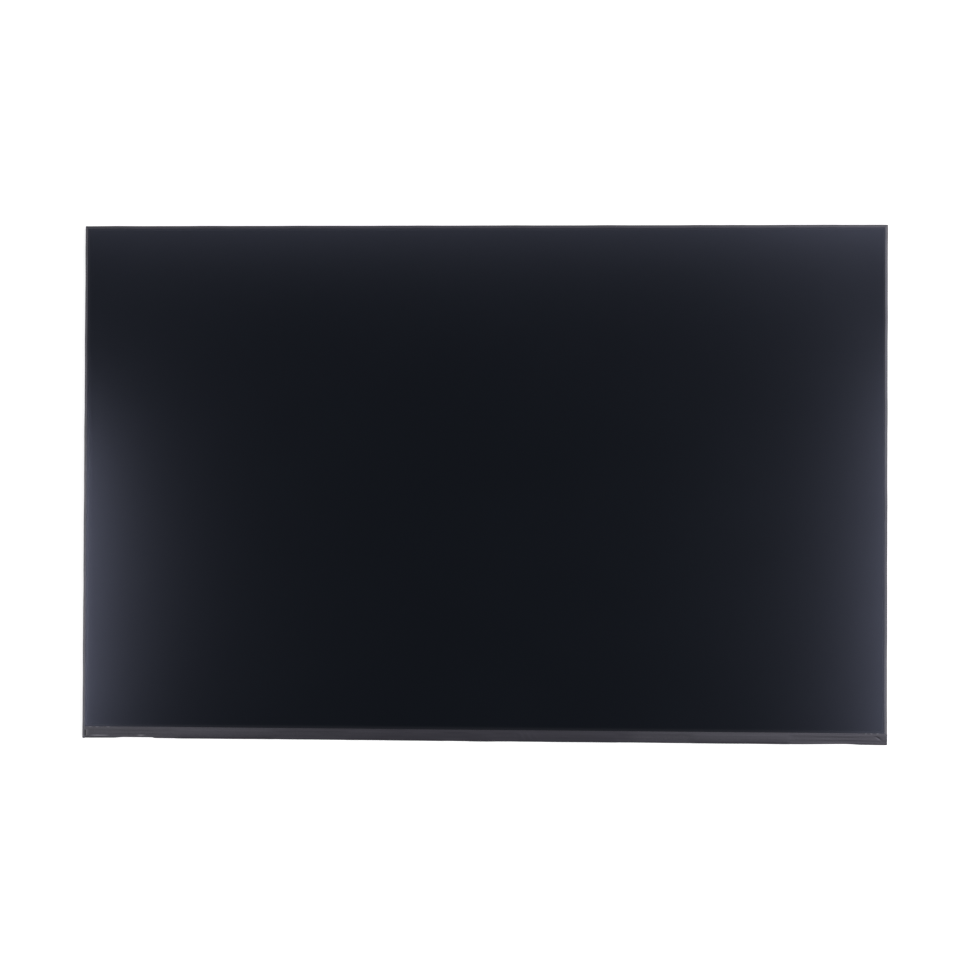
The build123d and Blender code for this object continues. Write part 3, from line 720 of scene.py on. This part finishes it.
def edge_tape(node, place, start, end, phase, lip_sheen, cut=None, cut_at=None):
    """A tape along one edge. Its points run from start to end, less their distance inwards where it is
    mitred; place turns distances inwards, along and up into points of the panel. Its waver is the sum of
    two sines of unlike length. The cut cells of the section are left out before cut_at; a function gives
    how far its lip is painted lighter grey, a painted sheen, at a place along it."""
    first, last = start(np.array([leg_width]))[0], end(np.array([0.0]))[0]
    starts = [first] if cut is None else [first, cut_at]
    share = (graded([(stop, EDGE_SPACING) for stop in starts], last) - first) / (last - first)
    along = start(depth) + (end(depth) - start(depth)) * share
    waver = np.sin(along / 6.1 + phase) + 0.6 * np.sin(along / 2.7 + 2 * phase)
    shift = LIP_WAVER * on_lip * waver + SIDE_WAVER * on_side * past_frame * (waver + 1.6)
    grids = []
    for height in (TAPE, 0.0):
        inwards = depth + edge_normal[:, :1] * height + shift
        up = edge_up + edge_normal[:, 1:] * height + 0 * share
        grids.append(place(inwards, along, up))
    cells = None
    if cut is not None:
        middle = (along[1:, 1:] + along[:-1, :-1]) / 2
        cells = ~(cut & (middle < cut_at))
    # The lip's painted sheen on its face, and the side painted lighter grey at one height of its waver
    wear = lip_sheen(along) * on_top + SIDE_LIGHTEN * on_side * hump(waver, LIGHTENED_WAVER, LIGHTEN_SPREAD)
    make_sheet(f"{node}_wrap", *grids, tape_finish, "black_tape", node, cells, wear)


print(f"{len(edge_section)} points from the lip to the end of the leg")

# %% The three edge tapes
LEFT_CORNER = 0.7
right, top = panel_high[:2]


def corner_arc(d):
    """Where a tape starts that rounds the corner: the radius less the root of its square less the square of
    what is left of it."""
    left_over = np.clip(LEFT_CORNER - d, 0, LEFT_CORNER)
    return edge_y + LEFT_CORNER - np.sqrt(LEFT_CORNER ** 2 - left_over ** 2)


def top_mitre(d):
    """Where a side tape ends: the distance inwards short of the top."""
    return top - d


def right_lip_sheen(y):
    """Painted sheen all along the lip, but less below the middle, where a bell curve is taken off."""
    return 0.53 - 0.22 * hump(y, -24.0, 40.0)


def left_lip_sheen(y):
    """Painted sheen all along the lip, and a little less in the upper half."""
    return 0.51 - 0.06 * ease(y, 0.0, 40.0)


def top_lip_sheen(x):
    """Painted sheen, even, and less than on the sides."""
    return np.full_like(x, 0.34)


edge_tape("right_edge_tape", lambda d, along, up: np.stack([right - d, along, up], -1),
          lambda d: shell_low[1] + 0 * d, top_mitre, phase=0.4, lip_sheen=right_lip_sheen,
          cut=on_front, cut_at=edge_y + face_edge - TAPE_GAP)
edge_tape("left_edge_tape", lambda d, along, up: np.stack([d - right, along, up], -1),
          corner_arc, top_mitre, phase=1.9, lip_sheen=left_lip_sheen, cut=on_leg, cut_at=shell_low[1])
edge_tape("top_edge_tape", lambda d, along, up: np.stack([along, top - d, up], -1),
          lambda d: d - right, lambda d: right - d, phase=3.1, lip_sheen=top_lip_sheen)


# %% [markdown]
# ## Picture side
# The front film is a polariser with a matt coat: its face is finely pitted, so it scatters what it
# mirrors over a few degrees. Behind it the cell is dark when the panel is off. Its mirror image has a
# slight blue cast, which the Principled shader's specular tint gives. The pits are far finer than a
# pixel, so most of them are roughness, and only a soft grain is left to the bump. Round the picture the
# cell has a black printed border, which under the matt coat looks a shade greyer towards the film's cut
# edge. Along its left edge the film rolls down by a few thousandths of a millimetre, too little for a
# mesh but enough to turn what it mirrors.

# %% Finish of the front film and the glass
BORDER = 1.6
ROLL_WIDTH = 2.6
ROLL_DEPTH = 0.006
PIT_DEPTH = 0.0002


def matt_film():
    """Near black, greyer in the border; the roll falls as the square of the way towards the left edge."""
    material, w, shader = finish("anti_glare_film", IOR=1.5, Specular_Tint=(0.68, 0.715, 1.0, 1.0))
    pits = grain(w, (0.09, 0.09, 0.09), 3.0)
    cloud = grain(w, (60.0, 45.0, 45.0))
    low, high = box_mm("front_polariser")
    x_place, y_place = position_on(w, "X"), position_on(w, "Y")
    to_side = float(high[0]) - w.math("ABSOLUTE", x_place)
    to_end = float(high[1] - low[1]) / 2 - w.math("ABSOLUTE", y_place - float(low[1] + high[1]) / 2)
    to_flat = w.add("ShaderNodeMapRange", sockets={"Value": x_place, "From Min": float(low[0]),
                                                 "From Max": float(low[0]) + ROLL_WIDTH,
                                                 "To Min": 1.0, "To Max": 0.0})
    roll = 1 - to_flat * to_flat
    border = 1 - step(w, w.math("MINIMUM", to_side, to_end), 0.0, BORDER)
    picture = blend(w, cloud, (0.0042, 0.0053, 0.0071), (0.0050, 0.0063, 0.0085))
    feed(shader,
         Base_Color=blend(w, border, picture, (0.0130, 0.0140, 0.0170)),
         Roughness=0.15 + 0.016 * pits + 0.008 * cloud,
         Normal=bump(w, roll + PIT_DEPTH / ROLL_DEPTH * pits, ROLL_DEPTH))
    return material


def dark_glass():
    """Glass over a dark cell, with a faint haze."""
    material, w, shader = finish("cell_glass", IOR=1.52)
    haze = grain(w, (3.0, 3.0, 3.0), 3.0)
    feed(shader,
         Base_Color=blend(w, haze, (0.010, 0.012, 0.013), (0.016, 0.019, 0.020)),
         Roughness=0.06 + 0.08 * haze,
         Normal=bump(w, haze, 0.0005))
    return material


dress(matt_film(), "front_polariser")
dress(dark_glass(), "colour_filter_glass", "tft_glass")


# %% [markdown]
# ## Metal back
# The back is thin rolled aluminium, pressed into a tray with a raised middle and two stiffening grooves.
# Rolling leaves fine streaks in one direction: a noise drawn out along X is enough for them, in colour,
# gloss and height.

# %% Finish of the metal back
def rolled_metal():
    """Bare aluminium with fine streaks along X and wide, faint stains."""
    material, w, shader = finish("shell_metal", Metallic=1.0)
    streak = grain(w, (45.0, 0.16, 0.16), 3.0)
    stain = grain(w, (24.0, 18.0, 18.0), 3.0)
    feed(shader,
         Base_Color=blend(w, 0.7 * streak + 0.3 * stain, (0.50, 0.51, 0.52), (0.72, 0.725, 0.73)),
         Roughness=0.27 + 0.12 * streak + 0.10 * stain,
         Normal=bump(w, streak + 0.3 * stain, 0.0015))
    return material


dress(rolled_metal(), "rear_shell")

# %% [markdown]
# ## Film over the board
# A thin black film is laid over the driver board and stuck down all round. It touches the tallest parts
# and hangs between them, so the board can be read through it. Each part holds the film up at its own
# height, less a slope away from it; the film takes the outermost of these, and the slopes to its flanges
# where those are further in.

# %% Soft minimum and maximum
FORMED_SHARPNESS = 14.0
DRAPED_SHARPNESS = 24.0


def soft_max(sharpness, *levels):
    """The largest of some levels, rounded where two are alike: the logarithm of their summed exponentials."""
    return np.logaddexp.reduce(np.broadcast_arrays(*[sharpness * level for level in levels])) / sharpness


def soft_min(sharpness, *levels):
    """The smallest of some levels: the largest of their negatives, turned back."""
    return -soft_max(sharpness, *[-level for level in levels])


print("soft maximum of two equal levels:", round(float(soft_max(FORMED_SHARPNESS, 0.0, 0.0)), 3), "mm higher")

# %% Places over the board
COVER = 0.1
FLANGE = 2.0
SLOPE_RUN = 1.6
NOTCH_SIDE = 4.6
NOTCH_REAR = 0.8
cover_low, cover_high = box_mm("board_cover_film")
socket_low, socket_high = box_mm("socket_shell")
contact_low, contact_high = box_mm("socket_contacts")

flange_up = shell_back - COVER
flange_low = tape_low[2] - COVER
foot_x = cover_high[0] - FLANGE
foot_up = cover_high[1] - FLANGE
foot_low = cover_low[1] + FLANGE
end_x = foot_x - SLOPE_RUN * (1 - flange_low / flange_up)
notch_x = np.array([socket_low[0] - NOTCH_SIDE, socket_high[0] + NOTCH_SIDE])
notch_y = contact_low[1] - NOTCH_REAR

# Points lie closer on the slopes than on the flanges and between the parts
cover_x = graded([(cover_low[0], 0.4), (-foot_x, 0.15), (-end_x, 0.8), (notch_x[0], 0.8), (notch_x[1], 0.7),
                  (end_x, 0.15), (foot_x, 0.4)], cover_high[0])[None, :]
cover_y = graded([(cover_low[1], 0.4), (foot_low, 0.18), (notch_y, 0.2), (foot_up, 0.4)],
                 cover_high[1])[:, None]
print("film over the board:", cover_y.size, "by", cover_x.size, "points")

# %% Parts that hold the film up
TALL_PARTS = ["timing_controller", "memory_chip", "power_converter", "inductor_1", "inductor_2"]

capacitor_points = nodes["ceramic_capacitors"].data.vertices
coordinates = np.empty(3 * len(capacitor_points))
capacitor_points.foreach_get("co", coordinates)
columns = np.unique(np.round(coordinates[::3] / MM, 2)).reshape(-1, 2)
caps_low, caps_high = box_mm("ceramic_capacitors")
parts = [box_mm(node) for node in TALL_PARTS]
parts += [(np.array([low, *caps_low[1:]]), np.array([high, *caps_high[1:]])) for low, high in columns]
print(len(parts), "parts hold the film up,", len(columns), "of them columns of capacitors")

# %% Film over the board
HANG = 0.42
DRAPE_SLOPE = 0.16
TOUCH = 0.02
PUCKER = 0.012
LOWEST = 0.002


def part_level(low, high):
    """Height of the film that one part holds up: a touch below the part, and further in by a slope outside
    it."""
    middle, half = (low + high) / 2, (high - low) / 2
    beside = np.hypot(np.maximum(np.abs(cover_x - middle[0]) - half[0], 0),
                      np.maximum(np.abs(cover_y - middle[1]) - half[1], 0))
    return low[2] - COVER - TOUCH + DRAPE_SLOPE * beside


drape = soft_min(DRAPED_SHARPNESS, HANG, *[part_level(low, high) for low, high in parts])
slope = flange_up / SLOPE_RUN
upper = soft_min(FORMED_SHARPNESS, flange_up, slope * (cover_y - foot_up) + flange_up)
lower = soft_min(FORMED_SHARPNESS, flange_low, slope * (foot_low - cover_y) + flange_low)
ends = soft_min(FORMED_SHARPNESS, flange_up, slope * (np.abs(cover_x) - foot_x) + flange_up)
pucker = PUCKER * (1 + np.sin(1.9 * cover_x + 0.8 * np.sin(0.9 * cover_y)))
cover_z = np.maximum(soft_max(FORMED_SHARPNESS, drape + pucker, upper, lower, ends), LOWEST)

outer = np.stack(np.broadcast_arrays(cover_x, cover_y, cover_z), -1)
inner = outer + np.array([0, 0, COVER])
cell_x = (cover_x[:, 1:] + cover_x[:, :-1]) / 2
cell_y = (cover_y[1:] + cover_y[:-1]) / 2
in_notch = (cell_x > notch_x[0]) & (cell_x < notch_x[1]) & (cell_y > notch_y)
past_end = (np.abs(cell_x) > end_x) & (cell_y < foot_low)


def formed_film():
    """Black film with a fine grain and a gloss that changes in clouds."""
    material, w, shader = finish("cover_film", IOR=1.55)
    fine = grain(w, (0.35, 0.35, 0.35), 3.0)
    cloud = grain(w, (12.0, 5.0, 5.0))
    feed(shader,
         Base_Color=blend(w, cloud, (0.012, 0.012, 0.013), (0.022, 0.022, 0.023)),
         Roughness=0.26 + 0.10 * fine + 0.12 * cloud,
         Normal=bump(w, fine, 0.004))
    return material


make_sheet("board_cover_drape", outer, inner, formed_film(), "cover_film", "board_cover_film",
           keep=~(in_notch | past_end))


# %% [markdown]
# ## Board and its parts
# The notch in the film shows a stretch of the board: green solder mask over copper tracks that run on
# from the socket's contacts. The tracks are a stripe pattern at the contacts' pitch, raised by the copper
# under the mask, and beside them lie patches of copper. The capacitors are brown ceramic with tinned
# ends.

# %% Finish of the board
TRACK_PITCH = 0.5
TRACK_HALF, TRACK_FOOT = 0.12, 0.15
TRACKS_FADE = 0.3
TAIL_FADE = 0.1


def solder_mask():
    """Green mask. A track's share falls with the distance from the middle of the nearest contact, and only
    behind the contacts' tails; past the tracks a noise cut off at half its height gives the patches."""
    material, w, shader = finish("circuit_board", IOR=1.5)
    x_place, y_place = position_on(w, "X"), position_on(w, "Y")
    middle = float(contact_low[0] + contact_high[0]) / 2
    half = float(contact_high[0] - contact_low[0]) / 2
    tails_end = float(contact_low[1])
    across = w.math("PINGPONG", x_place - (middle + TRACK_PITCH / 2), TRACK_PITCH / 2)
    stripe = 1 - step(w, across, TRACK_HALF, TRACK_FOOT)
    near = 1 - step(w, w.math("ABSOLUTE", x_place - middle), half, half + TRACKS_FADE)
    behind = 1 - step(w, y_place, tails_end - TAIL_FADE, tails_end)
    patches = step(w, grain(w, (5.0, 3.0, 3.0), 1.0), 0.48, 0.50) * (1 - near)
    copper = w.math("MAXIMUM", stripe * near * behind, patches)
    fine = grain(w, (0.3, 0.3, 0.3), 3.0)
    mask = blend(w, fine, (0.006, 0.050, 0.022), (0.009, 0.064, 0.028))
    feed(shader,
         Base_Color=blend(w, copper, mask, (0.022, 0.120, 0.050)),
         Roughness=0.24 + 0.12 * fine,
         Normal=bump(w, copper + 0.12 * fine, 0.03))
    return material


dress(solder_mask(), "board")

# %% Finish of the capacitors
TIN_FROM, TIN_FULL = 0.46, 0.50


def capacitor_blocks():
    """Brown ceramic with tinned ends: the ends are told by the distance from the middle of the nearest
    column."""
    material, w, shader = finish("capacitor_ceramic", IOR=1.5)
    x_place = position_on(w, "X")
    nearest = w.math("ABSOLUTE", x_place - float(columns[0].mean()))
    for column in columns[1:]:
        nearest = w.math("MINIMUM", nearest, w.math("ABSOLUTE", x_place - float(column.mean())))
    tinned = step(w, nearest, TIN_FROM, TIN_FULL)
    fine = grain(w, (0.1, 0.1, 0.1), 3.0)
    ceramic = blend(w, fine, (0.16, 0.085, 0.045), (0.23, 0.13, 0.07))
    feed(shader,
         Base_Color=blend(w, tinned, ceramic, (0.66, 0.66, 0.64)),
         Metallic=tinned,
         Roughness=0.42 - 0.12 * tinned + 0.12 * fine,
         Normal=bump(w, fine, 0.004))
    return material


dress(capacitor_blocks(), "ceramic_capacitors")


# %% [markdown]
# ## Socket and solder
# The socket has a black moulded body, a pressed steel cover and gold contacts. Each contact's tail and
# each lug of the cover sits in a little solder: a low dome whose foot is wider than the metal. A grid
# bent onto an ellipse has no pole, and the same faces as a sheet's close it with a flat underside.

# %% Finishes of the socket
def metal_finish(name, dark, light, roughness, lump):
    """Bare or plated metal, mottled by a fine noise."""
    material, w, shader = finish(name, Metallic=1.0)
    fine = grain(w, (lump, lump, lump), 3.0)
    feed(shader,
         Base_Color=blend(w, fine, dark, light),
         Roughness=roughness + 0.14 * fine,
         Normal=bump(w, fine, 0.003))
    return material


def moulded_finish(name, dark, light, roughness, lump):
    """Plastic, ceramic or film with a fine grain in colour, gloss and height."""
    material, w, shader = finish(name, IOR=1.5)
    fine = grain(w, (lump, lump, lump), 3.0)
    wide = grain(w, (9.0, 9.0, 9.0))
    feed(shader,
         Base_Color=blend(w, 0.6 * fine + 0.4 * wide, dark, light),
         Roughness=roughness + 0.14 * fine + 0.06 * wide,
         Normal=bump(w, fine, 0.004))
    return material


dress(moulded_finish("socket_plastic", (0.012, 0.012, 0.012), (0.024, 0.024, 0.024), 0.42, 0.12),
      "socket_housing")
dress(metal_finish("socket_steel", (0.56, 0.56, 0.55), (0.70, 0.70, 0.69), 0.24, 0.3), "socket_shell")
dress(metal_finish("gold_contact", (0.72, 0.50, 0.20), (0.86, 0.64, 0.30), 0.20, 0.12), "socket_contacts")

# %% Solder on the tails and lugs
DOME_GRID = 9
DOME_SINK = 0.01
CONTACT_COUNT = 30
CONTACT_HALF = 0.11
TAIL_MIDDLE = 0.2
LUG_MIDDLE = 0.45
# Half lengths along X and Y, and height
TAIL_DOME = (0.17, 0.42, 0.12)
LUG_DOME = (0.75, 0.95, 0.15)


def solder_domes(name, centres, dome, material):
    """Domes that hang under the board: a square grid bent onto an ellipse, as deep as one less the square of
    the way out from the middle."""
    half_x, half_y, height = dome
    u, v = np.meshgrid(np.linspace(-1, 1, DOME_GRID), np.linspace(-1, 1, DOME_GRID), indexing="ij")
    disc = np.stack([u * np.sqrt(1 - v ** 2 / 2), v * np.sqrt(1 - u ** 2 / 2)], -1)
    hang = height * (1 - np.sum(disc ** 2, -1))
    foot = np.stack([half_x * disc[..., 0], half_y * disc[..., 1], np.full_like(hang, DOME_SINK)], -1)
    bowl = np.stack([foot[..., 0], foot[..., 1], -hang], -1)
    local = np.concatenate([bowl.reshape(-1, 3), foot.reshape(-1, 3)])
    faces = sheet_faces(np.ones((DOME_GRID - 1, DOME_GRID - 1), dtype=bool))[:, ::-1]
    points = (centres[:, None, :] + local).reshape(-1, 3)
    shifts = len(local) * np.arange(len(centres))[:, None, None]
    make_piece(name, points, (faces + shifts).reshape(-1, 4), material)


solder = metal_finish("solder", (0.52, 0.52, 0.52), (0.68, 0.68, 0.67), 0.22, 0.2)
board_back = box_mm("board")[0, 2]
tail_x = np.linspace(contact_low[0] + CONTACT_HALF, contact_high[0] - CONTACT_HALF, CONTACT_COUNT)
lug_x = np.array([socket_low[0] + LUG_MIDDLE, socket_high[0] - LUG_MIDDLE])
tails = np.stack(np.broadcast_arrays(tail_x, contact_low[1] + TAIL_MIDDLE, board_back), -1)
lugs = np.stack(np.broadcast_arrays(lug_x, (socket_low[1] + socket_high[1]) / 2, board_back), -1)
solder_domes("tail_solder", tails, TAIL_DOME, solder)
solder_domes("lug_solder", lugs, LUG_DOME, solder)

# %% [markdown]
# ## Inside
# The rest is out of sight until the panel is taken apart: films, light guide, lamps, frame, the driver
# films and the parts under the cover. They still get their own finish, from the helper for moulded
# pieces, so that a part opened up looks like what it is.

# %% Finishes inside
WHITE = (0.74, 0.74, 0.72), (0.84, 0.84, 0.82)
CLEAR = (0.62, 0.64, 0.64), (0.72, 0.74, 0.74)
# Dark and light colour, roughness, size of the grain in millimetres, and the pieces
INSIDE = {
    "polarising_film": ((0.020, 0.020, 0.024), (0.034, 0.034, 0.040), 0.20, 0.2, ["rear_polariser"]),
    "prism_film": (*CLEAR, 0.22, 0.05, ["upper_prism_sheet", "lower_prism_sheet"]),
    "diffuser_film": (*WHITE, 0.55, 0.1, ["diffuser_sheet"]),
    "light_guide": (*CLEAR, 0.06, 0.3, ["light_guide_plate"]),
    "reflector_film": (*WHITE, 0.28, 0.4, ["reflector_sheet"]),
    "white_flex": ((0.66, 0.65, 0.58), (0.76, 0.75, 0.68), 0.40, 0.3, ["light_bar_flex"]),
    "lamp_body": (*WHITE, 0.40, 0.1, ["led_housings"]),
    "lamp_phosphor": ((0.78, 0.60, 0.06), (0.86, 0.68, 0.10), 0.45, 0.06, ["led_windows"]),
    "white_moulding": (*WHITE, 0.42, 0.15, ["middle_frame"]),
    "foam_tape": ((0.016, 0.016, 0.016), (0.034, 0.034, 0.034), 0.70, 0.15, ["rim_tape", "board_tape"]),
    "driver_film": ((0.16, 0.085, 0.018), (0.24, 0.13, 0.03), 0.24, 0.3,
                    [f"driver_film_{number}" for number in FILM_NUMBERS]),
    "bare_chip": ((0.05, 0.052, 0.06), (0.08, 0.082, 0.09), 0.16, 0.4,
                  [f"driver_chip_{number}" for number in FILM_NUMBERS]),
    "chip_package": ((0.014, 0.014, 0.015), (0.026, 0.026, 0.027), 0.46, 0.1,
                     ["timing_controller", "memory_chip", "power_converter"]),
    "ferrite": ((0.045, 0.045, 0.047), (0.085, 0.085, 0.087), 0.52, 0.12, ["inductor_1", "inductor_2"]),
}
for slot, (dark, light, roughness, lump, names) in INSIDE.items():
    dress(moulded_finish(slot, dark, light, roughness, lump), *names)
